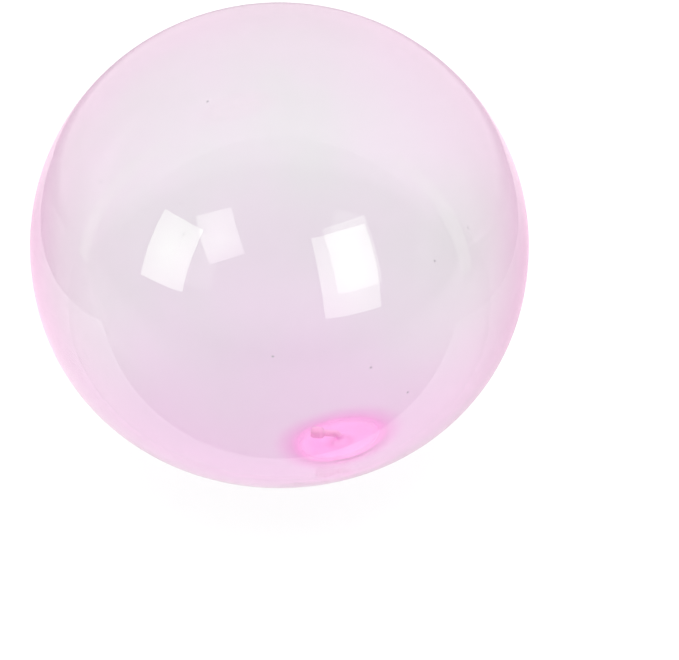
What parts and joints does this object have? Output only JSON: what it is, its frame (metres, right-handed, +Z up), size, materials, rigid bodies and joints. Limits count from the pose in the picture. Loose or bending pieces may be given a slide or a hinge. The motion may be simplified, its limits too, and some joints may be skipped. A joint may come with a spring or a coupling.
{
  "type": "inflatable bubble ball",
  "caption": "Large blown-up see-through pink rubber bubble ball, standing on a small flat beside its self-closing filler mouth.",
  "frame": {"origin": "middle of the small flat that the ball stands on, at table height", "axes": "+Z up through the crown, +Y to the back, +X to the right as seen from the front; the filler mouth is on the underside towards +X"},
  "size_m": [0.4, 0.4, 0.3779],
  "materials": {
    "pink_skin": "glossy see-through soft rubber film"
  },
  "bodies": {
    "root": {"ball": "pink_skin"}
  },
  "joints": []
}
